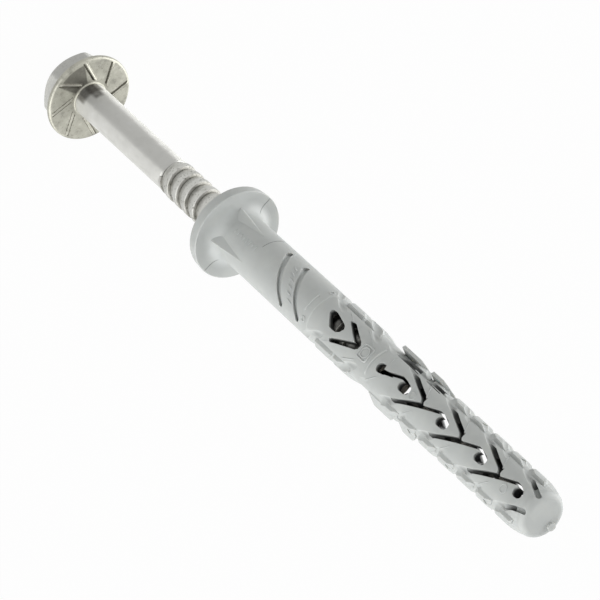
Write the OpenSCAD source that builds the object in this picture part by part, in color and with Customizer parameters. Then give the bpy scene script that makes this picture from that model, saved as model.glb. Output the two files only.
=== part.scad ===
// Frame fixing: a long nylon frame plug with its hexagon flange screw, drawn partly driven.
// It stands on the screw's hexagon head with the plug's tip up. Plug heights below are counted
// from the underside of the collar and grow towards the tip; the plug is then set at collar_z.

/* [Screw] */

// Width across the flats of the hexagon head
hex_af = 13; // [11:0.5:15]
// Height of the hexagon above the flange
hex_h = 4.2; // [3:0.1:6]
// Small turn of the hexagon against the plug's parting plane, in degrees
hex_turn = 10; // [0:1:30]
// Distance by which the flange's rim stays inside the rim of the plug's collar
flange_inset = 0.3; // [0:0.05:1]
// Thickness of the flange at its rim
flange_rim = 1.1; // [0.6:0.1:1.4]
// Number of locking ribs on the underside of the flange
rib_count = 8; // [6:1:12]
// Height of the locking ribs
rib_h = 0.32; // [0.2:0.02:0.45]
// Distance by which each rib line passes beside the axis
rib_offset = 2.5; // [1.5:0.1:3]
// Diameter of the plain shank
shank_d = 6.6; // [6.2:0.1:6.8]
// Diameter over the thread's crest
thread_d = 7.2; // [7:0.1:7.3]
// Length of the plain shank between the head and the thread
plain_len = 29.2; // [20:0.1:40]
// Length of the cone at the screw's point
point_len = 4; // [3:0.1:6]

/* [Plug] */

// Diameter of the hole that the plug is made for
plug_d = 10; // [9.6:0.1:10.4]
// Length of the plug from the collar's underside to the tip face
plug_len = 100; // [95:1:120]
// Diameter of the collar
collar_d = 18; // [16:0.1:20]
// Thickness of the collar
collar_t = 2.45; // [1.8:0.05:3]
// Radius of the hollow fillet under the collar
collar_fillet = 2.4; // [1:0.1:3]
// Difference in diameter that the mould's draft gives the smooth shaft
draft = 0.34; // [0:0.02:0.4]
// Thickness of the closed tip beyond the bore
nose_wall = 2.7; // [2:0.1:4]
// Radial running clearance between the thread's crest and the bore
run_gap = 0.06; // [0.03:0.01:0.1]
// Space kept between the screw's point and the closed end of the bore when driven home
point_gap = 0.5; // [0.3:0.1:1]
// Travel of the screw from this pose until its flange's ribs meet the collar
travel = 48.9; // [10:0.1:60]
// Space left between the ribs and the collar at the end of the travel
home_gap = 0.05; // [0.02:0.01:0.2]

/* [Expansion zone] */

// Length of the expansion zone, up to the tip face
zone_len = 68.8; // [60:0.1:72]
// Depth of the side rails below the plug's surface
rail_in = 0.37; // [0.2:0.01:0.5]
// Height of the grip blocks above the plug's surface
grip_out = 0.25; // [0.1:0.01:0.4]
// Half width of the grip blocks, measured along the view of the slots
block_half = 2.6; // [2:0.1:2.8]
// Width of each side rail, from the raised middle face to the plug's side
rail_w = 1.2; // [1:0.1:1.6]
// Spacing from one chevron to the next
cell = 12.15; // [11:0.05:13]
// Distance from the first full chevron's point to the tip face
tooth_to_tip = 34.5; // [33:0.1:36]
// Height of the locking wings' free edges above the plug's surface
wing_out = 0.78; // [0.4:0.02:1]
// Depth of the slanting grooves and of the nose grooves
groove_deep = 0.6; // [0.3:0.05:0.9]
// Depth of the round valleys that run from the chevrons out between the grip blocks
valley_deep = 0.42; // [0.2:0.02:0.5]
// Radius of the section of those valleys
valley_r = 1.3; // [0.8:0.1:2]

/* [Hidden] */
eps = 0.02;
flange_d = collar_d - 2 * flange_inset;
head_h = hex_h + flange_rim + 0.6;      // hexagon, cone of the flange and its rim
seat_z = head_h;                        // underside of the flange
home_len = rib_h + home_gap + collar_t; // flange to the collar's underside when driven home
collar_z = seat_z + travel + home_len;  // underside of the collar in this pose
bore_r = thread_d / 2 + run_gap;
core_r = shank_d / 2 - 0.1;
bore_end = plug_len - nose_wall;
home_tip = bore_end - point_gap;        // height of the point in the plug when driven home
screw_len = home_tip + home_len;
shaft_r0 = (plug_d - draft * 0.4) / 2;
shaft_r1 = shaft_r0 + draft / 2;
zone_z = plug_len - zone_len;
tooth_z = plug_len - tooth_to_tip;      // point of the first full chevron
rail_r = plug_d / 2 - rail_in;
block_r = plug_d / 2 + grip_out;
face_half = plug_d / 2 - rail_w;
gusset_l = 9.9;
nose_round = 1.35;

// A flat outline drawn in x and z, made solid between two distances y0 and y1
module along_y(y0, y1) rotate([90, 0, 0]) translate([0, 0, -y1]) linear_extrude(y1 - y0) children();

// A flat outline drawn in y and z, made solid between two distances x0 and x1
module along_x(x0, x1) rotate([90, 0, 90]) translate([0, 0, x0]) linear_extrude(x1 - x0) children();

// The same thing on both mould halves: the pattern is repeated half a turn round
module both_halves() { children(); rotate([0, 0, 180]) children(); }

function hex_r() = hex_af / 2 / cos(30);

// Hexagon with its chamfered outer corners and a shallow dished top, standing on z = 0
module hexagon() {
  difference() {
    intersection() {
      rotate([0, 0, -90 + hex_turn]) cylinder(h = hex_h + 0.4, r = hex_r(), $fn = 6);
      rotate_extrude($fn = 96) polygon([[0, 0], [hex_af / 2 - 0.25, 0], [hex_r() + 0.05, 1.15],
        [hex_r() + 0.05, hex_h + 0.4], [0, hex_h + 0.4]]);
    }
    translate([0, 0, -eps]) cylinder(h = 0.45 + eps, r1 = 4.4, r2 = 3.9, $fn = 64);
  }
}

// Washer flange: a cone from the hexagon out to the rim, with both rim edges broken
module flange() {
  r = flange_d / 2;
  rotate_extrude($fn = 128) polygon([[0, hex_h], [hex_af / 2 + 0.3, hex_h], [r - 0.25, head_h - flange_rim],
    [r, head_h - flange_rim + 0.25], [r, head_h - 0.12], [r - 0.12, head_h], [0, head_h]]);
}

// Ribs of saw-tooth section that lock the flange; each line passes beside the axis
module locking_ribs() {
  intersection() {
    for (i = [0 : rib_count - 1]) rotate([0, 0, i * 360 / rib_count - 12])
      translate([rib_offset, 3.0, head_h - 0.1])
        rotate([-90, 0, 0]) linear_extrude(flange_d / 2)
          polygon([[0, 0], [2.1, 0], [0.5, -rib_h - 0.1], [0, -rib_h - 0.1]]);
    difference() {
      translate([0, 0, head_h - 0.2]) cylinder(h = 1, r = flange_d / 2 - 0.3, $fn = 128);
      translate([0, 0, head_h - 0.3]) cylinder(h = 1.2, r = shank_d / 2 + 0.6, $fn = 64);
    }
  }
}

module screw() {
  tip = seat_z + screw_len;
  thread_z = seat_z + plain_len;
  color([0.80, 0.80, 0.77]) {
    hexagon();
    flange();
    locking_ribs();
    // plain shank with a small fillet at the flange
    translate([0, 0, seat_z - eps]) cylinder(h = plain_len + eps, r = shank_d / 2, $fn = 96);
    rotate_extrude($fn = 96) difference() {
      translate([shank_d / 2 - 0.1, seat_z - 0.05]) square([0.55, 0.5]);
      translate([shank_d / 2 + 0.45, seat_z + 0.45]) circle(r = 0.45, $fn = 48);
    }
    // threaded length up to the crest's diameter, with the shallow run-in and the cone of the point
    rotate_extrude($fn = 96) polygon([[0, thread_z - 1], [shank_d / 2 - eps, thread_z - 1], [shank_d / 2, thread_z - 0.5],
      [thread_d / 2, thread_z], [thread_d / 2, tip - point_len], [core_r, tip - point_len + 0.5], [0.15, tip], [0, tip]]);
  }
}

// Turned outline of the plug, without the slots: collar, fillet, smooth shaft and nose
module plug_turned() {
  rc = collar_d / 2;
  cr = 0.5;
  // collar, whose rim narrows a little towards its round upper edge
  rotate_extrude($fn = 128) {
    polygon([[0, 0], [rc - 0.12, 0], [rc, -0.12], [rc, -0.5], [rc - 0.15, -collar_t + cr], [rc - 0.15 - cr, -collar_t],
      [0, -collar_t]]);
    translate([rc - 0.15 - cr, -collar_t + cr]) circle(r = cr, $fn = 64);
  }
  // hollow fillet between the collar and the shaft
  rotate_extrude($fn = 128) difference() {
    translate([shaft_r0 - 0.3, -0.1]) square([collar_fillet + 0.3, collar_fillet + 0.1]);
    translate([shaft_r0 + collar_fillet, collar_fillet]) circle(r = collar_fillet, $fn = 96);
  }
  // smooth shaft, which the mould's draft makes a little wider towards the tip
  translate([0, 0, -0.1]) cylinder(h = zone_z + 0.1, r1 = shaft_r0, r2 = shaft_r1, $fn = 128);
  translate([0, 0, zone_z]) cylinder(h = 0.9, r1 = shaft_r1, r2 = rail_r, $fn = 128);
  // side rails and rounded nose
  translate([0, 0, zone_z]) cylinder(h = plug_len - nose_round - zone_z, r = rail_r, $fn = 128);
  rotate_extrude($fn = 128) {
    translate([0, plug_len - nose_round - 0.1]) square([rail_r - nose_round, nose_round + 0.1]);
    intersection() {
      translate([rail_r - nose_round, plug_len - nose_round]) circle(r = nose_round, $fn = 64);
      translate([rail_r - nose_round - eps, plug_len - nose_round - eps]) square(nose_round + 1);
    }
  }
}

// The raised middle faces, a plain cylinder cut to the width between the two rails
module middle_faces() {
  top = plug_len - 2.92;
  intersection() {
    union() {
      translate([0, 0, zone_z - 0.5]) cylinder(h = top - zone_z + 0.5 + eps, r = plug_d / 2, $fn = 128);
      translate([0, 0, top]) cylinder(h = 1.4, r1 = plug_d / 2, r2 = rail_r, $fn = 128);
    }
    translate([-face_half, -plug_d, zone_z - 0.5]) cube([2 * face_half, 2 * plug_d, plug_len]);
  }
}

// One pair of grip blocks. The foot of the steep end stands at z0 on the parting plane and leans away
// from it towards the tip; flat is the length of the block's top, and a short ramp ends it.
module block_pair(z0, flat) {
  lean = 32;
  c = cos(lean);
  ramp = 1.1;
  for (h = [-1, 1]) intersection() {
    translate([0, 0, z0 - 1]) cylinder(h = flat + 6, r = block_r, $fn = 128);
    translate([-plug_d, h < 0 ? -block_half : -eps, z0 - 2]) cube([2 * plug_d, block_half + eps, flat + 9]);
    translate([0, 0, z0]) rotate([h * lean, 0, 0]) along_y(-plug_d, plug_d) for (s = [-1, 1])
      polygon([[s * (face_half - 0.4), 0], [s * (rail_r - 0.08), 0], [s * (block_r + 0.02), 0.65 * c],
        [s * (block_r + 0.02), (0.65 + flat) * c], [s * (rail_r - 0.08), (0.65 + flat + ramp) * c],
        [s * (face_half - 0.4), (0.65 + flat + ramp) * c]]);
  }
}

module grip_blocks() {
  intersection() {
    union() {
      block_pair(zone_z + 1.45, 3.4);
      block_pair(zone_z + 7.4, 3.4);
      for (i = [-1 : 2]) block_pair(tooth_z + 0.9 + i * cell, 3.4);
      for (i = [-1 : 1]) block_pair(tooth_z + 7.05 + i * cell, 2.9);
    }
    // the blocks end before the rounded nose
    union() {
      cylinder(h = plug_len - 3.1, r = block_r + 1, $fn = 64);
      translate([0, 0, plug_len - 3.1 - eps]) cylinder(h = 0.9, r1 = block_r + 0.02, r2 = rail_r - 0.2, $fn = 128);
    }
  }
}

// Round valley across the edge between a middle face and a rail. z is its height there, turn the angle from
// the middle of the face, and lean its angle to the plug's axis; it fades out where the surface curves away
module valley(z, turn, lean, deep) {
  for (s = [-1, 1]) rotate([0, 0, s * turn]) translate([0, -plug_d / 2 - valley_r + deep, z])
    rotate([0, -s * lean, 0]) cylinder(h = 9, r = valley_r, center = true, $fn = 40);
}
module valleys() {
  // those that lead to the arms of a chevron, then the shallower ones between the two blocks of a cell
  for (z = [zone_z + 2.0, tooth_z - 2 * cell + 3.2]) valley(z, 54, 36, valley_deep);
  for (i = [-1 : 2]) valley(tooth_z + 3.1 + i * cell, 53, 30, valley_deep);
  for (i = [-2 : 1]) valley(tooth_z + 8.0 + i * cell, 58, 38, valley_deep - 0.14);
}

// Locking wing: its root runs into the rail, its free edge stands off the plug
module wing(z0, z1) {
  w = plug_d / 2 + wing_out;
  intersection() {
    translate([0, 0, z0 - 1]) linear_extrude(z1 - z0 + 5)
      polygon([[0.5 - rail_r, 1.3], [-rail_r - 0.09, 1.1], [-w, -2.3], [0.62 - w, -2.6], [0.13 - rail_r, -0.45],
        [0.5 - rail_r, -0.2]]);
    along_x(-plug_d, -3) polygon([[1.5, z0], [1.5, z1 + 2], [0.4, z1 + 1.6], [-1.5, z1 + 0.3], [-2.8, z1 - 1.3],
      [-2.8, z0]]);
  }
}

// Pocket between a wing and the middle face, with a sloping start and a square end
module wing_pocket(z0, z1) {
  along_x(0.28 - face_half - 0.92, 0.28 - face_half)
    polygon([[-plug_d, z0 + 1.2], [-3.1, z0 + 1.2], [-1.8, z0 + 2.6], [-1.8, z1 + 1.75], [-plug_d, z1 + 1.75]]);
  // deeper part under the wing
  along_x(0.28 - face_half - 0.92, 0.04 - face_half)
    polygon([[-2, z0 + 1.8], [-0.9, z0 + 2.8], [-0.9, z1 + 1.75], [-2, z1 + 1.75]]);
}

// Gusset under the collar: its sloping top runs out into the shaft
module gusset() {
  intersection() {
    along_x(-0.5, shaft_r0) polygon([[-2, 0.6], [0.3 - shaft_r0, 0.6], [1.07 - shaft_r0, gusset_l], [-2, gusset_l]]);
    along_y(-6, 0) polygon([[0.8, 0.6], [shaft_r0 - 0.88, 0.6], [shaft_r0 - 1.93, gusset_l + 0.3],
      [0.8, gusset_l + 0.3]]);
  }
}

// A groove of one depth in the plug's surface. Its middle line is given as [height, arc] points on the
// unrolled surface, half is half its width
function unroll(p) = [plug_d / 2 * sin(p[1] / (plug_d / 2) * 180 / PI), p[0]];
module groove(line, half, r0, r1) {
  n = len(line) - 1;
  way = [for (i = [0 : n]) let (d = line[min(i + 1, n)] - line[max(i - 1, 0)]) [-d[1], d[0]] / norm(d)];
  difference() {
    along_y(-plug_d, -plug_d / 5) {
      polygon(concat([for (i = [0 : n]) unroll(line[i] + half * way[i])],
        [for (i = [n : -1 : 0]) unroll(line[i] - half * way[i])]));
      translate(unroll(line[0])) circle(r = half * 0.97, $fn = 32);
      translate(unroll(line[n])) circle(r = half * 0.97, $fn = 32);
    }
    translate([0, 0, line[0][0] - 3]) cylinder(h = abs(line[n][0] - line[0][0]) + 6, r1 = r0, r2 = r1, $fn = 128);
  }
}

// Long slanting grooves on the smooth shaft, as many as fit between the gussets and the zone
groove_step = 5.5;
module slant_grooves() {
  room = floor((zone_z - 9.6 - gusset_l) / groove_step);
  for (k = [0 : 1 : min(2, room) - 1]) let (z0 = zone_z - 9.6 - k * groove_step)
    groove([for (a = [-4.1 : 8.2 / 12 : 4.11]) [z0 + (a + 4.1) * 0.80, a]], 0.58,
      plug_d / 2 - groove_deep + 0.05, plug_d / 2 - groove_deep + 0.05);
}

// The two grooves that draw the last chevron on the nose
module nose_grooves() {
  for (line = [[[-5.3, -3.9], [-4, -3.5], [-2.5, -2.85], [-0.8, -2.1]], [[-5.6, 3.6], [-4, 2.95], [-2.5, 2.3], [-0.8, 1.7]]])
    groove([for (p = line) [plug_len + p[0], p[1]]], 0.5, plug_d / 2 - groove_deep + 1.3, rail_r - groove_deep - 1.4);
}

// Outlines of the slots: x is given as a share of the middle face's half width, z in millimetres from
// the zone's start or from the chevron's point
module on_face(z, y0, y1) translate([0, 0, z]) along_y(y0, y1) scale([face_half, 1]) children();
module round_end(x, z, r) translate([x, z]) scale([1 / face_half, 1]) circle(r = r, $fn = 40);

// Window and open chevron at the start of the expansion zone
module window() {
  on_face(zone_z, -plug_d, 0)
    polygon([[-0.44, 3.2], [-0.29, 3.15], [0.25, 5.5], [0.27, 6.5], [0.25, 7.5], [0.1, 8.4], [-0.12, 8.75],
      [-0.27, 8.3], [-0.34, 7.5], [-0.51, 4.6], [-0.5, 3.5]]);
}
module open_chevron() {
  on_face(zone_z, -plug_d, 1.3 - bore_r)
    polygon([[-0.7, 8.3], [-0.6, 8.1], [-0.53, 8.5], [-0.02, 12.6], [0.56, 7.2], [0.63, 6.9], [0.73, 7.0],
      [0.76, 7.4], [0.24, 13.8], [0.1, 14.4], [-0.1, 14.4], [-0.25, 13.8], [-0.7, 9.5]]);
}

// Arms of a chevron: their floors sink from the outer ends until they are open to the bore
module chevron() {
  difference() {
    on_face(0, -plug_d, 1.3 - bore_r)
      polygon([[-0.84, -7.2], [-0.76, -7.25], [-0.63, -5.7], [-0.24, -1.1], [-0.13, -0.5], [-0.05, -0.35], [0.56, -5.5], [0.72, -7.1], [0.8, -6.9],
        [0.79, -5.6], [0.12, 1.2], [-0.04, 0.75], [-0.13, 0.3], [-0.4, 0.1], [-0.85, -5.3]]);
    translate([0, 0, -8]) cylinder(h = 4.6, r1 = plug_d / 2 - 0.1, r2 = bore_r - 0.2, $fn = 96);
  }
}

// Slit that leaves the chevron's point, and the hole it ends in
module slit_and_hole(hole = 1.3) {
  on_face(0, -plug_d, 0) {
    polygon([[0.12, 1.2], [-0.25, 5.0], [-0.21, 6.5], [-0.18, 6.9 + hole], [-0.29, 6.1 + hole], [-0.375, 6.0],
      [-0.405, 4.5], [-0.035, 0.75], [-0.04, 0], [0.08, -0.4], [0.16, 0.4]]);
    round_end(-0.015, 6.1, 0.98);
    round_end(-0.02, 6.1 + hole, 0.95);
    translate([-0.3, 6.1]) square([0.53, hole]);
  }
}

// First slit: it starts from a round hole instead of a chevron
module first_slit() {
  slit_and_hole();
  on_face(0, -plug_d, 0) {
    round_end(0.03, -0.75, 0.98);
    polygon([[-0.23, -0.75], [-0.26, -0.1], [-0.04, 0.25], [0.0, 1.2], [0.2, 0.9], [0.28, -0.6]]);
    polygon([[0.2, 0.5], [-0.02, 3.2], [-0.14, 2.0], [-0.04, 0.2]]);
  }
}

module bore() {
  cone_z = bore_end - point_len + 0.1;
  translate([0, 0, -collar_t - 1]) cylinder(h = cone_z + collar_t + 1, r = bore_r, $fn = 96);
  translate([0, 0, cone_z - eps]) cylinder(h = point_len, r1 = bore_r, r2 = 0.35, $fn = 96);
}

module plug() {
  wing_a = [tooth_z - 14.6, tooth_z - 8.6];
  wing_b = [tooth_z - 5.3, tooth_z - 1.4];
  color([0.70, 0.72, 0.71])
  translate([0, 0, collar_z]) {
    difference() {
      union() {
        difference() {
          union() {
            plug_turned();
            middle_faces();
            grip_blocks();
          }
          both_halves() valleys();
        }
        both_halves() {
          gusset();
          mirror([1, 0, 0]) gusset();
          wing(wing_a[0], wing_a[1]);
          wing(wing_b[0], wing_b[1]);
        }
        // gate mark left on the tip face by the mould
        translate([0.3, 2.75, plug_len - 0.6]) cylinder(h = 1.15, r = 0.8, $fn = 40);
      }
      bore();
      both_halves() {
        slant_grooves();
        window();
        open_chevron();
        translate([0, 0, tooth_z - cell]) first_slit();
        for (i = [0 : 2]) translate([0, 0, tooth_z + i * cell]) {
          chevron();
          slit_and_hole(i < 2 ? 1.3 : 0.5);
        }
        nose_grooves();
        wing_pocket(wing_a[0], wing_a[1]);
        wing_pocket(wing_b[0], wing_b[1]);
      }
    }
  }
}

plug();
screw();
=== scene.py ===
import bpy, bmesh, math
from mathutils import Matrix, Vector


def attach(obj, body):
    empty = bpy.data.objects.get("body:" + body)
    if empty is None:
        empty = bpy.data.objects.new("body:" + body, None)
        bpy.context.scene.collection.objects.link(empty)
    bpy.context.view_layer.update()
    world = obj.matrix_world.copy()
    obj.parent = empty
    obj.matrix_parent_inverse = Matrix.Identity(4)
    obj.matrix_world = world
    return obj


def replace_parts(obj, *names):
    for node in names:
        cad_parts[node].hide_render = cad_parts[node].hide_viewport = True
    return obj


# Frame fixing. The nylon plug keeps its CAD solid and gets its moulded marks here. The screw is
# made anew, with its rolled thread and the locking ribs of its flange.
# Lengths are in millimetres, and MM turns them to metres. The fixing stands on the screw's head.
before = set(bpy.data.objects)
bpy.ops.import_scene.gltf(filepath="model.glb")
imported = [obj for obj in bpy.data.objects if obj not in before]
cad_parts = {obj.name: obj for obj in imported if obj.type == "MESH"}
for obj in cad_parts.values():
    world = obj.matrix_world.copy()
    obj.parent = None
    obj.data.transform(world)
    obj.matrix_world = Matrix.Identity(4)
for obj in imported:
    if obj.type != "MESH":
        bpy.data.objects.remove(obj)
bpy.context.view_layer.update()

MM = 0.001
TAU = 2 * math.pi

# Screw: heights from the head's flat end
HEX_AF = 13.0         # across the flats
HEX_CORNER_R = 7.3    # the hexagon's corners are rounded off at this radius
HEX_TURN = 10.0       # turn of the hexagon against the plug's parting plane, in degrees
SEAT_Z = 5.9          # underside of the flange
FLANGE_R = 8.7
RIBS = 8
RIB_ASIDE = 2.5       # each rib's line passes this far beside the axis
RIB_START = 2.2       # and starts this far along its line
RIB_H = 0.22
SHANK_R = 3.3
THREAD_R = 3.6        # over the crest
ROOT_R = 3.05
PITCH = 2.95
POINT_LEN = 4.0
HOME_TIP = 96.8       # the point's height above the collar's underside when driven home
HOME_LEN = 2.82       # from the flange to the collar's underside when driven home

# Plug: its own heights are counted from the collar's underside
COLLAR_Z = 57.62      # that underside, in this pose
PLUG_R = 5.0
COLLAR_FILLET = 2.4
ZONE_Z = 31.2         # start of the expansion zone
TOOTH_Z = 65.5        # point of the first full chevron
CELL = 12.15          # from one chevron to the next
WEB_R = 3.82          # thin webs in the far slits, clear of the thread


def srgb(code):
    """A colour written in sRGB hex, as linear red, green, blue and alpha."""
    parts = [int(code[i:i + 2], 16) / 255 for i in (0, 2, 4)]
    return tuple(p / 12.92 if p <= 0.04045 else ((p + 0.055) / 1.055) ** 2.4 for p in parts) + (1.0,)


# ------------------------------------------------------------------ camera

# The screw's axis runs down to the right in the picture, and towards the viewer
TILT = 0.7571         # radians towards the viewer
ROLL = 0.7455         # radians down from the picture's right
PICTURE_PX = 600
FOCAL_PX = 8000       # a long lens, as the nearly parallel sides of the fixing show
SENSOR = 36           # mm
COLLAR_IN_VIEW = Vector((-11.3415, -11.8083, 1448.3692))   # right, down and away from the camera

axis_v = Vector((math.cos(TILT) * math.cos(ROLL), math.cos(TILT) * math.sin(ROLL), -math.sin(TILT)))
near_v = Vector((0, 0, -1)) - axis_v * axis_v.dot(Vector((0, 0, -1)))
near_v.normalize()
side_v = axis_v.cross(near_v)


def to_row(v):
    """A direction given as right, down and away in the picture, in the row's frame."""
    return Vector((v.dot(side_v), -v.dot(near_v), v.dot(axis_v)))


def make_camera():
    data = bpy.data.cameras.new("camera")
    data.sensor_width = SENSOR
    data.lens = SENSOR * FOCAL_PX / PICTURE_PX
    data.clip_start = 0.05
    data.clip_end = 50
    cam = bpy.data.objects.new("camera", data)
    bpy.context.scene.collection.objects.link(cam)
    right, down, away = (to_row(Vector(e)) for e in ((1, 0, 0), (0, 1, 0), (0, 0, 1)))
    place = (to_row(-COLLAR_IN_VIEW) + Vector((0, 0, COLLAR_Z))) * MM
    cam.matrix_world = Matrix(((right.x, -down.x, -away.x, place.x),
                               (right.y, -down.y, -away.y, place.y),
                               (right.z, -down.z, -away.z, place.z),
                               (0, 0, 0, 1)))
    bpy.context.scene.camera = cam


# ------------------------------------------------------------------ materials

def add(tree, kind, settings=None, **links):
    """Adds a node, sets its properties, sockets and colour stops, and links its inputs. A link is
    named for its socket, or i and a number where sockets share a name."""
    n = tree.nodes.new(kind)
    for key, value in (settings or {}).items():
        if key == "ease":
            n.color_ramp.interpolation = "EASE" if value else "LINEAR"
        elif key == "stops":
            while len(n.color_ramp.elements) < len(value):
                n.color_ramp.elements.new(0.5)
            for stop, (at, code) in zip(n.color_ramp.elements, value):
                stop.position = at
                stop.color = srgb(code)
        elif isinstance(key, str) and hasattr(n, key):
            setattr(n, key, value)
        else:
            n.inputs[key].default_value = value
    for key, source in links.items():
        name = key.replace("_", " ")
        numbered = name[0] == "i" and name[1:].isdigit()
        tree.links.new(source, n.inputs[int(name[1:])] if numbered else n.inputs[name])
    return n


def material(name):
    m = bpy.data.materials.new(name)
    m.use_nodes = True
    return m, m.node_tree, m.node_tree.nodes["Principled BSDF"]


def between(t, value, low, high, soft):
    """1 where the value lies between low and high, with soft ends."""
    up = add(t, "ShaderNodeMapRange", {"From Min": low - soft, "From Max": low + soft,
                                       "interpolation_type": "SMOOTHSTEP"}, Value=value)
    down = add(t, "ShaderNodeMapRange", {"From Min": high + soft, "From Max": high - soft,
                                         "interpolation_type": "SMOOTHSTEP"}, Value=value)
    return add(t, "ShaderNodeMath", {"operation": "MULTIPLY"},
               i0=up.outputs[0], i1=down.outputs[0]).outputs[0]


def round_axis(t, at):
    """The coordinates taken apart, and the distance from the axis."""
    xyz = add(t, "ShaderNodeSeparateXYZ", Vector=at)
    flat = add(t, "ShaderNodeCombineXYZ", X=xyz.outputs["X"], Y=xyz.outputs["Y"])
    radius = add(t, "ShaderNodeVectorMath", {"operation": "LENGTH"}, i0=flat.outputs["Vector"])
    return xyz, radius.outputs["Value"]


def moulded_nylon(name, tone):
    """Injection-moulded nylon. The mould's spark-eroded skin gives a satin face with no sharp
    highlight, and light that enters the nylon softens its edges and shadows."""
    m, t, sh = material(name)
    at = add(t, "ShaderNodeTexCoord").outputs["Object"]
    # mottling 4 mm wide, where the melt cooled unevenly
    clouds = add(t, "ShaderNodeTexNoise", {"Scale": 1 / (4.0 * MM), "Detail": 3.0, "Roughness": 0.55},
                 Vector=at)
    colour = add(t, "ShaderNodeValToRGB", {"ease": True, "stops": tone}, Fac=clouds.outputs["Fac"])
    # painted shade: the slots' walls are painted darker with depth and the bore near black, where no light
    # reaches; under the flattened middle face the painted shade starts a quarter of a millimetre sooner
    face_half, face_low = 3.55, 0.25
    lit_r, dark_r, dark_from, dark_to = 4.7, 3.85, 31, 97.2
    xyz, radius = round_axis(t, at)
    face = between(t, xyz.outputs["X"], -face_half * MM, face_half * MM, 0.2 * MM)
    level = add(t, "ShaderNodeMath", {"operation": "MULTIPLY_ADD", 1: -face_low * MM}, i0=face, i2=radius)
    depth = add(t, "ShaderNodeMapRange", {"From Min": lit_r * MM, "From Max": dark_r * MM, "To Min": 0.0,
                                          "To Max": 0.94, "interpolation_type": "SMOOTHSTEP"},
                Value=level.outputs[0])
    above = add(t, "ShaderNodeMath", {"operation": "GREATER_THAN", 1: (COLLAR_Z + dark_from) * MM},
                i0=xyz.outputs["Z"])
    below = add(t, "ShaderNodeMath", {"operation": "LESS_THAN", 1: (COLLAR_Z + dark_to) * MM},
                i0=xyz.outputs["Z"])
    inside = add(t, "ShaderNodeMath", {"operation": "MULTIPLY"}, i0=above.outputs[0], i1=below.outputs[0])
    depth_painted_shade = add(t, "ShaderNodeMath", {"operation": "MULTIPLY"},
                 i0=inside.outputs[0], i1=depth.outputs["Result"])
    deep = add(t, "ShaderNodeMix", {"data_type": "RGBA", 7: srgb("161615")},
               Factor=depth_painted_shade.outputs[0], i6=colour.outputs["Color"])
    t.links.new(deep.outputs[2], sh.inputs["Base Color"])
    # the skin's grain, about 0.12 mm in the real mould, is drawn at 0.16 mm so that it shows
    grain = add(t, "ShaderNodeTexNoise", {"Scale": 1 / (0.16 * MM), "Detail": 2.0, "Roughness": 0.6},
                Vector=at)
    waves = add(t, "ShaderNodeTexNoise", {"Scale": 1 / (1.6 * MM), "Detail": 1.0}, Vector=at)
    both = add(t, "ShaderNodeMath", {"operation": "MULTIPLY_ADD", 1: 0.35},
               i0=grain.outputs["Fac"], i2=waves.outputs["Fac"])
    bump = add(t, "ShaderNodeBump", {"Strength": 0.22, "Distance": 0.04 * MM}, Height=both.outputs[0])
    t.links.new(bump.outputs["Normal"], sh.inputs["Normal"])
    rough = add(t, "ShaderNodeMapRange", {"From Min": 0.3, "From Max": 0.7, "To Min": 0.44, "To Max": 0.54},
                Value=clouds.outputs["Fac"])
    t.links.new(rough.outputs["Result"], sh.inputs["Roughness"])
    sh.inputs["IOR"].default_value = 1.53
    sh.inputs["Subsurface Weight"].default_value = 0.3
    sh.inputs["Subsurface Radius"].default_value = (0.0012, 0.0011, 0.0010)
    sh.inputs["Subsurface Scale"].default_value = 1.0
    return m


def darkened(t, colour, xyz, radius, noise, patch):
    """Mixes in a patch's darker tone, painted shade and painted reflection alike, at its strength, inside its
    spans of turn, radius and height. Each span is its start, its end and its softness."""
    code, most, spans = patch
    turn = add(t, "ShaderNodeMath", {"operation": "ARCTAN2"}, i0=xyz.outputs["Y"], i1=xyz.outputs["X"])
    (t0, t1, ts), (r0, r1, rs), (z0, z1, zs) = spans
    by_turn = between(t, turn.outputs[0], math.radians(t0), math.radians(t1), math.radians(ts))
    by_radius = between(t, radius, r0 * MM, r1 * MM, rs * MM)
    by_height = between(t, xyz.outputs["Z"], z0 * MM, z1 * MM, zs * MM)
    two = add(t, "ShaderNodeMath", {"operation": "MULTIPLY"}, i0=by_turn, i1=by_radius)
    three = add(t, "ShaderNodeMath", {"operation": "MULTIPLY"}, i0=two.outputs[0], i1=by_height)
    uneven = add(t, "ShaderNodeMapRange", {"From Min": 0.3, "From Max": 0.6,
                                           "To Min": most * 0.55, "To Max": most}, Value=noise)
    share = add(t, "ShaderNodeMath", {"operation": "MULTIPLY"}, i0=three.outputs[0], i1=uneven.outputs[0])
    mix = add(t, "ShaderNodeMix", {"data_type": "RGBA", 7: srgb(code)}, Factor=share.outputs[0], i6=colour)
    return mix.outputs[2]


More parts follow.
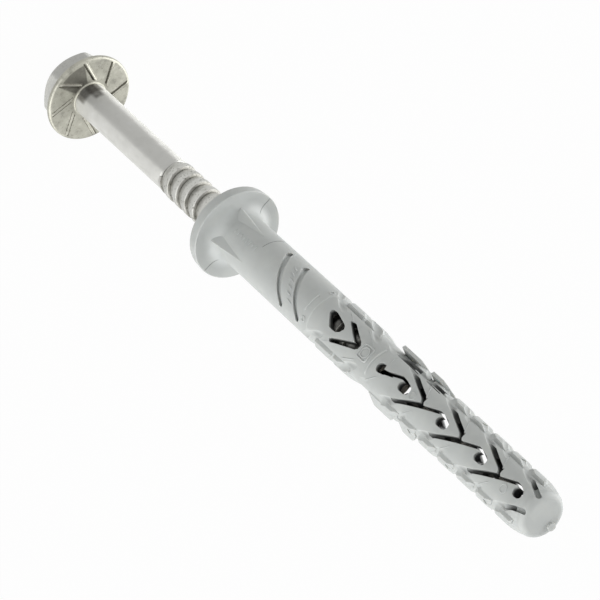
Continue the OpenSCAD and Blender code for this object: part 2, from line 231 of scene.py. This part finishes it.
def plated_steel(name, tone, rough, drawn=0.0, pits=0.0, patches=()):
    """Cold-formed steel under bright zinc. The zinc is a soft pale mirror, a little uneven. drawn is the
    share of fine lines along the screw, which pull the light into long bands, and pits is that of small
    dark spots. patches are places of painted shade and painted reflection: each has its tone, strength and
    spans."""
    m, t, sh = material(name)
    at = add(t, "ShaderNodeTexCoord").outputs["Object"]
    sh.inputs["Metallic"].default_value = 1.0
    sh.inputs["Anisotropic"].default_value = 0.95 if drawn else 0.0
    if drawn:
        turn = add(t, "ShaderNodeTangent", {"direction_type": "RADIAL", "axis": "Z"})
        t.links.new(turn.outputs["Tangent"], sh.inputs["Tangent"])
        sh.inputs["Anisotropic Rotation"].default_value = 0.25
    # plating stains 2.2 mm wide
    stains = add(t, "ShaderNodeTexNoise", {"Scale": 1 / (2.2 * MM), "Detail": 5.0, "Roughness": 0.65},
                 Vector=at)
    colour = add(t, "ShaderNodeValToRGB", {"ease": True, "stops": tone}, Fac=stains.outputs["Fac"])
    # drawing lines: noise stretched thirty times along Z. The real lines are under 0.1 mm apart, and
    # these are drawn 0.25 mm apart so that they show
    stretch = add(t, "ShaderNodeMapping", {"Scale": (1, 1, 0.03)}, Vector=at)
    lines = add(t, "ShaderNodeTexNoise", {"Scale": 1 / (0.25 * MM), "Detail": 3.0, "Roughness": 0.6},
                Vector=stretch.outputs["Vector"])
    # pits 0.35 mm wide
    spots = add(t, "ShaderNodeTexNoise", {"Scale": 1 / (0.35 * MM), "Detail": 2.0, "Roughness": 0.5},
                Vector=at)
    dark = add(t, "ShaderNodeValToRGB", {"stops": [(0.30, "8A8A84"), (0.40, "FFFFFF")]},
               Fac=spots.outputs["Fac"])
    pitted = add(t, "ShaderNodeMix", {"data_type": "RGBA", "blend_type": "MULTIPLY", 0: pits},
                 i6=colour.outputs["Color"], i7=dark.outputs["Color"])
    xyz, radius = round_axis(t, at)
    out = pitted.outputs[2]
    for patch in patches:
        out = darkened(t, out, xyz, radius, stains.outputs["Fac"], patch)
    t.links.new(out, sh.inputs["Base Color"])
    r = add(t, "ShaderNodeMapRange", {"From Min": 0.3, "From Max": 0.7, "To Min": rough[0],
                                      "To Max": rough[1]}, Value=stains.outputs["Fac"])
    t.links.new(r.outputs["Result"], sh.inputs["Roughness"])
    blend = add(t, "ShaderNodeMath", {"operation": "MULTIPLY_ADD", 1: drawn},
                i0=lines.outputs["Fac"], i2=spots.outputs["Fac"])
    bump = add(t, "ShaderNodeBump", {"Strength": 0.25, "Distance": 0.02 * MM}, Height=blend.outputs[0])
    t.links.new(bump.outputs["Normal"], sh.inputs["Normal"])
    return m


# ------------------------------------------------------------------ meshes

def finish(bm, name, mat, body, smooth=40, second=None, where=None):
    """Writes a bmesh to an object in the row's frame, smooth-shaded but for edges sharper than the
    given angle. Faces that where() picks take the second material."""
    if second:
        bm.normal_update()
        bmesh.ops.recalc_face_normals(bm, faces=bm.faces)
        for f in bm.faces:
            f.material_index = 1 if where(f) else 0
    bmesh.ops.remove_doubles(bm, verts=bm.verts, dist=1e-4)
    bmesh.ops.recalc_face_normals(bm, faces=bm.faces)
    for e in bm.edges:
        if len(e.link_faces) == 2 and e.calc_face_angle(0) > math.radians(smooth):
            e.smooth = False
    for f in bm.faces:
        f.smooth = True
    bmesh.ops.scale(bm, vec=(MM, MM, MM), verts=bm.verts)
    me = bpy.data.meshes.new(name)
    bm.to_mesh(me)
    bm.free()
    me.materials.append(mat)
    if second:
        me.materials.append(second)
    o = bpy.data.objects.new(name, me)
    bpy.context.scene.collection.objects.link(o)
    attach(o, body)
    return o


def outline(bm, points, closed=False):
    """Edges along (radius, height) points in the XZ plane."""
    vs = [bm.verts.new((r, 0, z)) for r, z in points]
    es = [bm.edges.new((a, b)) for a, b in zip(vs, vs[1:])]
    if closed:
        es.append(bm.edges.new((vs[-1], vs[0])))
    return vs, es


def turned(points, steps=128):
    """A turned solid from its (radius, height) outline, by a full spin round Z."""
    bm = bmesh.new()
    vs, es = outline(bm, points)
    bmesh.ops.spin(bm, geom=vs + es, cent=(0, 0, 0), axis=(0, 0, 1), angle=TAU, steps=steps, use_merge=True)
    return bm


def arc(cx, cz, r, a0, a1, n=6):
    """Points on a circle's arc, from angle a0 to a1 in degrees."""
    return [(cx + r * math.cos(math.radians(a0 + (a1 - a0) * i / n)),
             cz + r * math.sin(math.radians(a0 + (a1 - a0) * i / n))) for i in range(n + 1)]


def far_half(bm):
    """Repeats what is there on the far side, half a turn round the axis."""
    far = bmesh.ops.duplicate(bm, geom=bm.verts[:] + bm.edges[:] + bm.faces[:])["geom"]
    bmesh.ops.rotate(bm, cent=(0, 0, 0), matrix=Matrix.Rotation(math.pi, 3, "Z"),
                     verts=[g for g in far if isinstance(g, bmesh.types.BMVert)])


# ------------------------------------------------------------------ screw

def hexagon_head(mat):
    """Hexagon with soft corners, turned back by a cone towards its flat end, and a shallow dish in
    that end. A turned blank is pressed in to the six flats."""
    dish = [(0, 0.5), (2.6, 0.5), (3.3, 0.42), (3.9, 0.08), (4.2, 0.0), (5.9, 0.0), (6.12, 0.03)]
    cone = [(6.25 + 1.25 * i / 14, 0.1 + 1.2 * i / 14) for i in range(15)]
    wall = [(7.6, 1.3 + 0.4 * i) for i in range(1, 9)]
    bm = turned(dish + cone + wall + [(0, 4.5)], 240)
    flats = [math.radians(-90 + HEX_TURN + 30 + 60 * k) for k in range(6)]
    sharp, soft, drop = 60, 0.22, 0.055
    for v in bm.verts:
        r, turn = math.hypot(v.co.x, v.co.y), math.atan2(v.co.y, v.co.x)
        if r > 5:
            # the six flats, blended into each other at the corners and into the cone
            share = sum(max(0.0, math.cos(turn - flat)) ** sharp for flat in flats) ** (1 / sharp)
            edge = min(HEX_AF / 2 / share, HEX_CORNER_R)
            blend = max(0.0, soft - abs(edge - r)) / soft
            to = min(edge, r) - blend * blend * drop
            v.co.x *= to / r
            v.co.y *= to / r
    return finish(bm, "screw_hexagon", mat, "screw", 30)


def serrated_flange(mat, painted_shade_mat):
    """Flange with eight locking ribs that pass beside the axis. Each climbs steeply and falls gently,
    and the two lines at its base take the second material, a painted shade."""
    under = SEAT_Z - 0.02
    lip, rows = FLANGE_R - 0.5, 30
    points = [(HEX_AF / 2 - 0.6, SEAT_Z - 2.3), (HEX_AF / 2 + 0.3, SEAT_Z - 1.7),
              (FLANGE_R - 0.8, SEAT_Z - 1.2)]
    points += arc(FLANGE_R - 0.4, SEAT_Z - 0.8, 0.4, -80, 0, 5) + arc(lip, SEAT_Z - 0.52, 0.5, 0, 90, 8)
    points += [(lip - (lip - SHANK_R - 0.28) * i / rows, under) for i in range(1, rows + 1)]
    points += arc(SHANK_R + 0.3, SEAT_Z + 0.28, 0.3, -90, -180, 5)
    bm = turned(points, 540)
    dark = set()
    for v in bm.verts:
        r = math.hypot(v.co.x, v.co.y)
        if abs(v.co.z - under) < 1e-3 and 3.9 < r < FLANGE_R - 0.3:
            best = 0.0
            for k in range(RIBS):
                turn = math.radians(360 / RIBS * k - 12)
                across = v.co.x * math.cos(turn) + v.co.y * math.sin(turn) - RIB_ASIDE
                along = -v.co.x * math.sin(turn) + v.co.y * math.cos(turn)
                if along > RIB_START:
                    up = 1 - abs(across - 0.12) / 0.24 if across < 0.12 else 1 - (across - 0.12) / 0.5
                    ends = min(1.0, (along - RIB_START) / 0.5, max(0.0, (FLANGE_R - 0.4 - r) / 0.4))
                    best = max(best, max(0.0, min(1.0, up * 1.3)) * ends)
                    # the two lines beside each rib are marked for the painted shade
                    if -0.34 < across < 0.1 or 0.42 < across < 0.66:
                        dark.add(v)
            v.co.z += RIB_H * best
    return finish(bm, "screw_flange", mat, "screw", 60, painted_shade_mat,
                  lambda f: all(v in dark for v in f.verts))


def shank(mat):
    """The plain shank, from inside the head to the start of the thread."""
    low, top = SEAT_Z + 0.2, COLLAR_Z - 21.95
    points = [(0, SEAT_Z - 1), (SHANK_R, SEAT_Z - 1), (SHANK_R, low)]
    points += [(SHANK_R, low + (top - low) * i / 12) for i in range(1, 13)]
    points += [(SHANK_R - 0.04, top + 0.1), (ROOT_R - 0.02, top + 0.3), (0, top + 0.3)]
    return finish(turned(points, 128), "screw_shank", mat, "screw")


def rolled_thread(mat, painted_shade_mat):
    """Core and point turned, the broad crest swept round them as a helix with the same pitch."""
    tip = SEAT_Z + HOME_TIP + HOME_LEN
    start, end = COLLAR_Z - 24.3, tip - POINT_LEN
    groove_z = COLLAR_Z - 21.6        # where a groove crosses the near side
    bm = turned([(0, start + 1.0), (ROOT_R, start + 1.0), (ROOT_R, end), (ROOT_R - 0.25, end + 0.6),
                 (0.2, tip - 0.1), (0.08, tip - 0.02), (0, tip)], 96)
    # over one pitch: a long rise out of the root, a broad crest, and a steep flank that faces the tip
    profile = [(ROOT_R - 0.1, 0.0), (ROOT_R + 0.02, 0.04), (ROOT_R + 0.12, 0.4), (THREAD_R - 0.2, 1.1),
               (THREAD_R - 0.05, 1.42), (THREAD_R, 1.75), (THREAD_R, 2.55), (THREAD_R - 0.04, 2.7),
               (THREAD_R - 0.12, 2.79), (ROOT_R + 0.12, 2.9), (ROOT_R - 0.1, 2.93)]
    turned_verts = len(bm.verts)
    vs, es = outline(bm, [(r, start + z) for r, z in profile], closed=True)
    first = -90 + ((start - groove_z) / PITCH * 360)
    bmesh.ops.rotate(bm, cent=(0, 0, 0), matrix=Matrix.Rotation(math.radians(first), 3, "Z"), verts=vs)
    steps = 56
    count = int((end - start - PITCH * 0.5) / PITCH * steps)
    bmesh.ops.spin(bm, geom=vs + es, cent=(0, 0, 0), axis=(0, 0, 1), dvec=(0, 0, PITCH / steps),
                   angle=TAU * count / steps, steps=count, use_merge=False)
    bm.verts.ensure_lookup_table()
    for v in bm.verts[turned_verts:]:
        r = math.hypot(v.co.x, v.co.y)
        # the crest grows out of the shank over a third of a turn and runs out before the point
        run_in, run_out = (v.co.z - COLLAR_Z + 21.8) / 1.1, (end - 1.2 - v.co.z) / (PITCH * 0.8)
        k = max(0.0, min(1.0, run_in, run_out))
        if r > ROOT_R - 0.05:
            low = SHANK_R - 0.02 if v.co.z < start + PITCH * 2 else ROOT_R
            to = low + (r - low) * k if r > low else r
            v.co.x *= to / r
            v.co.y *= to / r
    bmesh.ops.holes_fill(bm, edges=[e for e in bm.edges if e.is_boundary], sides=12)
    # faces on the steep flanks that face the tip, short of the point, take the painted shade
    return finish(bm, "screw_thread", mat, "screw", 35, painted_shade_mat,
                  lambda f: f.normal.z > 0.45 and f.calc_center_median().z < end - PITCH)


# ------------------------------------------------------------------ marks on the plug

def on_plug(z, a, up, r=PLUG_R):
    """A point on the plug: z above the collar's underside, a the arc from the near side, up above
    the surface."""
    t = a / PLUG_R
    return Vector(((r + up) * math.sin(t), -(r + up) * math.cos(t), COLLAR_Z + z))


def bead(bm, line, half, high, r=PLUG_R, deep=0.12, spot=on_plug):
    """A low rounded bead along (height, arc) points on the plug's surface: a grid draped over it."""
    section = [(-1.0, -deep), (-0.92, high * 0.25), (-0.5, high * 0.85), (0, high),
               (0.5, high * 0.85), (0.92, high * 0.25), (1.0, -deep)]
    n, rows = len(line) - 1, len(section) - 1
    loop = line[0] == line[-1]
    for v in bmesh.ops.create_grid(bm, x_segments=n, y_segments=rows, size=1)["verts"]:
        i, j = round((v.co.x + 1) / 2 * n), round((v.co.y + 1) / 2 * rows)
        z0, a0 = line[i - 1] if i else (line[-2] if loop else line[0])
        z1, a1 = line[i + 1] if i < n else (line[1] if loop else line[n])
        d = math.hypot(z1 - z0, a1 - a0)
        s, up = section[j]
        taper = 1.0 if loop or 0 < i < n else 0.4
        wide = s * half * taper
        v.co = spot(line[i][0] - wide * (a1 - a0) / d, line[i][1] + wide * (z1 - z0) / d,
                    up * taper if up > 0 else up, r)


def run(z0, a0, z1, a1, n=8):
    """A straight line of (height, arc) points."""
    return [(z0 + (z1 - z0) * i / n, a0 + (a1 - a0) * i / n) for i in range(n + 1)]


def ring(z, a, r, n=24, square=0.0):
    """A closed circle, or a rounded square, round a point on the plug."""
    out = []
    for i in range(n):
        t = TAU * i / n
        c, d = math.cos(t), math.sin(t)
        k = 1 / max(abs(c), abs(d)) if square else 1.0
        k = 1 + (min(k, 1.28) - 1) * square
        out.append((z + r * k * c, a + r * k * d))
    return out + [out[0]]


def shaft_r(z):
    """Radius of the drafted shaft at a height above the collar's underside."""
    return 4.932 + 0.17 * min(z, ZONE_Z) / ZONE_Z


def moulded_marks(mat):
    """Raised lines, rings and ticks of the mould. The ticks are plain."""
    bm = bmesh.new()
    # lines across the middle face, and the rims of the prints that ejector pins leave
    bead(bm, run(29.6, -2.1, 29.6, 1.8, 12), 0.24, 0.26, shaft_r(29.6))
    bead(bm, run(50.1, -3.2, 50.1, 3.1, 16), 0.27, 0.3)
    bead(bm, ring(47.5, 0, 1.4, 32, 1.0), 0.2, 0.22)
    bead(bm, ring(47.5, 0, 1.0, 28), 0.16, 0.18)
    bead(bm, ring(62.75, 0, 0.7), 0.13, 0.12)
    bead(bm, ring(92.9, 1.1, 0.8), 0.13, 0.12)
    for z, a in ((30.4, -4.2), (30.0, 3.2)):
        bead(bm, ring(z, a, 0.42, 20, 1.0), 0.13, 0.14, shaft_r(z))
    # a scale of long and short ticks under the collar
    for i in range(8):
        z = 3.8 + 0.95 * i
        long = 0.62 if i % 2 else 0.42
        bead(bm, run(z, -0.35 - long, z, -0.35 + long, 4), 0.14, 0.14, shaft_r(z))
    # a slanting row of ticks between the two grooves
    for i in range(6):
        a = -2.7 + 1.05 * i
        z = 19.6 + (a + 4.1) * 0.8
        bead(bm, run(z - 0.75, a - 0.15, z + 0.75, a + 0.15, 4), 0.17, 0.15, shaft_r(z))
    far_half(bm)
    return finish(bm, "plug_marks", mat, "plug", 60)


def fine_creases(mat):
    """Faint edges where the slides of the mould met, and the worn ridges beside the rails."""
    bm = bmesh.new()
    chevrons = [(k, TOOTH_Z + CELL * k) for k in range(-1, 3)]
    lines = [(37, -4, 40, -2.7), (36.5, 4, 38, 3.2), (43, -3.9, 47.5, -2), (42.5, 4, 46.5, 2.2),
             (50.5, 4, 53.3, 1.7), (53.0, -3.6, 53.35, -1.5)]
    for k, z in chevrons:
        lines += [(z - 2.2, -4.0, z - 0.1, -1.4)] if k >= 0 else []
        lines += [(z + 9, 4, z + 11.5, 2)] if k < 2 else []
    for line in lines:
        bead(bm, run(*line), 0.12, 0.08)
    rail_arc = 4.28
    for k, z in chevrons:
        for a in (-rail_arc, rail_arc):
            bead(bm, run(z + 4.2, a, z + 7.4, a, 4), 0.08, 0.03)
            if k < 2:
                bead(bm, run(z + 9.6, a, z + 14.0, a, 4), 0.08, 0.03)
    far_half(bm)
    return finish(bm, "plug_creases", mat, "plug", 60)


def under_collar(u, v, up, r):
    """A point on the collar's underside: flat, then a hollow fillet that leads into the shaft."""
    fillet_out_r = 7.33
    inside = min(COLLAR_FILLET - 0.05, max(0.0, fillet_out_r - abs(u)))
    return Vector((u, v, COLLAR_Z + COLLAR_FILLET - math.sqrt(COLLAR_FILLET ** 2 - inside ** 2) + up))


def parting_lines(mat):
    """Flash lines of the mould, dark with painted shade of their narrow gap: across the collar's underside
    at both sides, and one round the shaft."""
    bm = bmesh.new()
    for side in (-1, 1):
        bead(bm, run(side * 5.6, 0.1 * side, side * 8.85, 0.1 * side, 16), 0.06, 0.035, deep=0.05,
             spot=under_collar)
    bead(bm, run(11.3, -6.4, 11.3, -1.4, 14), 0.06, 0.03, shaft_r(11.3))
    return finish(bm, "plug_parting_lines", mat, "plug", 60)


def slit_webs(mat):
    """Thin webs that close the slits of the far half at the bore. The nylon's painted shade of the bore makes
    them near black.
    """
    bm = bmesh.new()
    webs = [(43.0, 46.2, 1.7), (51.7, 52.9, 1.7)]      # start, end and half width
    for k in range(-1, 3):
        z = TOOTH_Z + CELL * k
        webs += [(z + 1.2, z + 4.35, 1.9), (z + 4.75, z + 8.8, 1.9)]
    for z0, z1, half in webs:
        for v in bmesh.ops.create_grid(bm, x_segments=12, y_segments=6, size=1)["verts"]:
            t = v.co.x * half / WEB_R
            v.co = Vector((WEB_R * math.sin(t), WEB_R * math.cos(t),
                           COLLAR_Z + z0 + (v.co.y + 1) / 2 * (z1 - z0)))
    bmesh.ops.solidify(bm, geom=bm.faces[:], thickness=0.1)
    return finish(bm, "plug_slit_webs", mat, "plug", 60)


# ------------------------------------------------------------------ stage

def straight_on(t):
    """1 for rays that show the background: from the camera, from gloss and through clear pieces."""
    ray = add(t, "ShaderNodeLightPath")
    two = add(t, "ShaderNodeMath", {"operation": "MAXIMUM"},
              i0=ray.outputs["Is Camera Ray"], i1=ray.outputs["Is Glossy Ray"])
    return add(t, "ShaderNodeMath", {"operation": "MAXIMUM"},
               i0=two.outputs[0], i1=ray.outputs["Is Transmission Ray"]).outputs[0]


def make_stage():
    bm = bmesh.new()
    bmesh.ops.create_grid(bm, x_segments=1, y_segments=1, size=6)
    me = bpy.data.meshes.new("floor")
    bm.to_mesh(me)
    bm.free()
    floor = bpy.data.objects.new("floor", me)
    bpy.context.scene.collection.objects.link(floor)
    # white paper: lit as paper for the object, seen as plain white by the camera and in gloss. The
    # few hundredths that stay lit paper there show the object's soft shadow
    m, t, sh = material("white paper, matt")
    sh.inputs["Base Color"].default_value = srgb("B0B0AE")
    sh.inputs["Roughness"].default_value = 0.9
    sh.inputs["Specular IOR Level"].default_value = 0.0
    glow = add(t, "ShaderNodeEmission", {"Color": srgb("FFFFFF"), "Strength": 1.0})
    share = add(t, "ShaderNodeMath", {"operation": "MULTIPLY", 1: 0.97}, i0=straight_on(t))
    mix = add(t, "ShaderNodeMixShader", {}, Fac=share.outputs[0], i1=sh.outputs["BSDF"],
              i2=glow.outputs["Emission"])
    t.links.new(mix.outputs["Shader"], t.nodes["Material Output"].inputs["Surface"])
    me.materials.append(m)

    # an even pale room for the light that falls on the object, and plain white behind it
    world = bpy.data.worlds.new("studio")
    bpy.context.scene.world = world
    world.use_nodes = True
    t = world.node_tree
    room = t.nodes["Background"]
    room.inputs["Color"].default_value = srgb("FFFFFF")
    room.inputs["Strength"].default_value = 0.63
    white = add(t, "ShaderNodeBackground", {"Color": srgb("FFFFFF"), "Strength": 1.0})
    mix = add(t, "ShaderNodeMixShader", {}, Fac=straight_on(t), i1=room.outputs["Background"],
              i2=white.outputs["Background"])
    t.links.new(mix.outputs["Shader"], t.nodes["World Output"].inputs["Surface"])


def softbox(name, azimuth, elevation, distance, size, power):
    """An area lamp, placed by its azimuth from the near side towards +X and its elevation, in
    degrees, and its distance in metres, and aimed at the plug."""
    a, e = math.radians(azimuth), math.radians(elevation)
    aim = Vector((0, 0, 0.085))
    away = Vector((math.sin(a) * math.cos(e), -math.cos(a) * math.cos(e), math.sin(e)))
    data = bpy.data.lights.new(name, "AREA")
    data.shape = "RECTANGLE"
    data.size, data.size_y = size
    data.energy = power
    o = bpy.data.objects.new(name, data)
    bpy.context.scene.collection.objects.link(o)
    turn = away.to_track_quat("Z", "Y").to_matrix().to_4x4()
    o.matrix_world = Matrix.Translation(aim + away * distance) @ turn


make_camera()
make_stage()
softbox("key", 78, 14, 0.7, (2.0, 0.7), 10.2)
softbox("back", -124, 13, 0.7, (1.1, 0.7), 7.6)

# Nylon from a spark-eroded mould: one quiet warm grey, satin, a few levels lighter or darker in places
grey = moulded_nylon("grey nylon, injection moulded", [(0.25, "AAADAB"), (0.5, "B0B3B1"), (0.75, "B5B8B5")])
# Flash where the mould's halves met: thin, with painted shade of its narrow gap, so the line reads from afar
seam_painted_shade = moulded_nylon("grey nylon, flash line in painted shade", [(0.3, "5E615F"), (0.7, "6A6D6B")])

# Painted dark places: painted reflection on the shank's base above the flange and a painted streak of
# reflection in it, painted shade on the end inside the plug that no light reaches and in the thread's root,
# and painted reflection on one sector of the flange's underside. Each has its tone, its strength, and its
# spans of turn in degrees, radius and height
ALL_ROUND = (-200, 200, 1)
foot_painted_reflection = ("57554F", 0.85, ((-152, -62, 6), (0, 4, 0.1), (SEAT_Z - 1, SEAT_Z + 2.7, 0.5)))
streak_painted_reflection = ("45433E", 0.85, ((-136, -104, 7), (0, 4, 0.1), (SEAT_Z - 1, SEAT_Z + 4.4, 0.5)))
hidden_painted_shade = ("1C1B1A", 0.97, (ALL_ROUND, (0, 5, 0.1), (COLLAR_Z + 24, 200, 6)))
root_painted_shade = ("4A4944", 0.9, (ALL_ROUND, (0, ROOT_R + 0.03, 0.04), (0, 200, 1)))
sector_painted_reflection = ("5A5852", 0.8, ((-120, -73, 2), (3.7, 7.9, 0.15), (SEAT_Z - 0.3, SEAT_Z + 0.5, 0.1)))

# Drawn wire under bright zinc: the shank shows long soft bands of light, and a painted dark reflection of the
# flange where the head begins
bright = plated_steel("bright zinc-plated steel, drawn", [(0.3, "B8B8B4"), (0.55, "BEBEBA"), (0.75, "C4C4C1")],
                      (0.38, 0.44), drawn=1.0, patches=(foot_painted_reflection, streak_painted_reflection))
# Rolled between dies: pale crests with small dark pits, painted shade in the root, and painted near-black
# shade on the end inside the plug
rolled = plated_steel("bright zinc-plated steel, thread-rolled",
                      [(0.3, "B2B2AC"), (0.5, "C4C4BF"), (0.75, "CDCDC9")],
                      (0.36, 0.48), pits=0.9, patches=(root_painted_shade, hidden_painted_shade))
# Cold-headed: a duller and more broken surface, with a painted dark reflection on one sector of the flange's
# underside
forged = plated_steel("bright zinc-plated steel, cold-headed",
                      [(0.3, "94938A"), (0.5, "ACABA0"), (0.75, "C0BFB5")],
                      (0.42, 0.58), pits=0.35, patches=(sector_painted_reflection,))
# Pressed flats: smoother than the flange, with faint lines from the die
pressed = plated_steel("bright zinc-plated steel, pressed",
                       [(0.3, "AAAAA6"), (0.55, "B4B4B0"), (0.75, "BCBCB8")],
                       (0.36, 0.46), drawn=0.5, pits=0.25)
# Painted shade on the thread's steep flanks that face the tip, which draws a thin dark line round each turn
flank = plated_steel("zinc-plated steel, thread flank in painted shade", [(0.35, "7C7B75"), (0.6, "9C9B96")],
                     (0.42, 0.55), pits=0.9)
# Painted shade in the two lines at the base of each rib, so that the ribs read as cut lines
rib_painted_shade = plated_steel("zinc-plated steel, grimy along the ribs", [(0.3, "4A4840"), (0.6, "5E5C53")],
                     (0.4, 0.55), pits=0.3)

for node, mat in (("plug", grey), ("screw", bright)):
    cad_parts[node].data.materials.clear()
    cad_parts[node].data.materials.append(mat)

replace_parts(shank(bright), "screw")
hexagon_head(pressed)
serrated_flange(forged, rib_painted_shade)
rolled_thread(rolled, flank)
moulded_marks(grey)
fine_creases(grey)
parting_lines(seam_painted_shade)
slit_webs(grey)

bpy.context.scene.view_settings.view_transform = "Standard"
